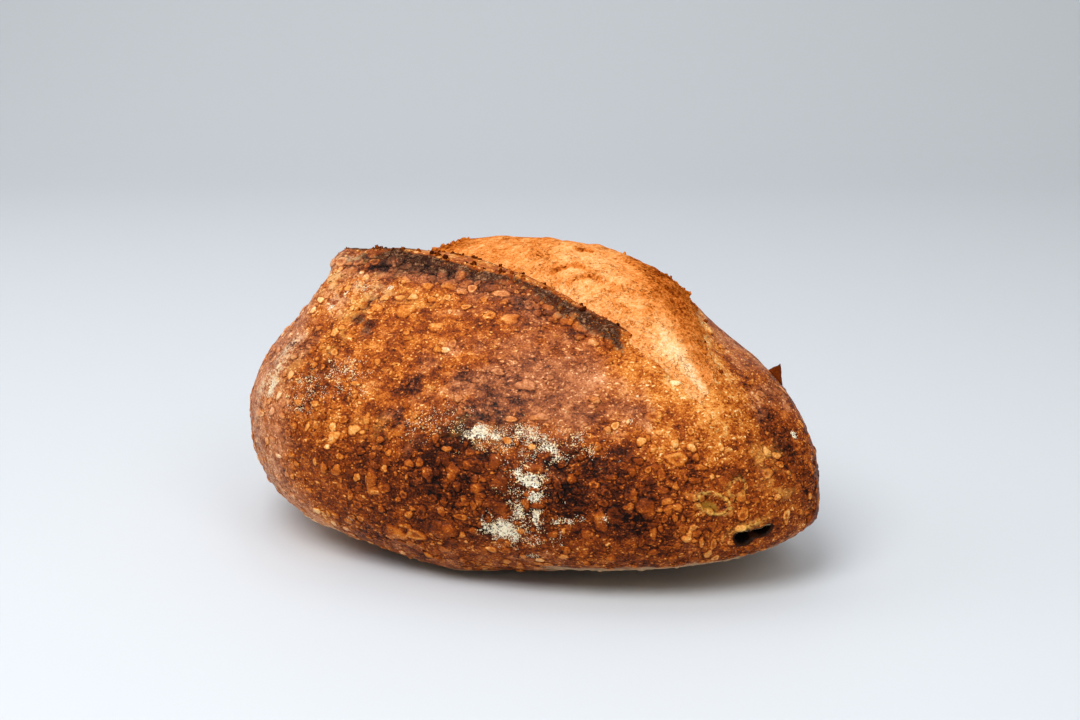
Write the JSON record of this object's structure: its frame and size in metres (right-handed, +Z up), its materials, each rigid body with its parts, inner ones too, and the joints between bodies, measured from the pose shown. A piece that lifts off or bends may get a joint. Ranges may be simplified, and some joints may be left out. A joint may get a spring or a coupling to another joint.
{
  "type": "sourdough loaf",
  "caption": "Whole oval sourdough loaf with a browned blistered crust, a flat base, a raised ear along its score and a swollen pale belly behind it.",
  "frame": {"origin": "on the table at the middle of the loaf's length, under the line through both ends", "axes": "+X along the loaf towards its more pointed end, -Y towards the side the ear stands on, +Z up"},
  "size_m": [0.256, 0.1713, 0.1212],
  "materials": {
    "crust": "baked crust, dry, with a soft sheen"
  },
  "bodies": {
    "root": {"loaf": "crust"}
  },
  "joints": []
}
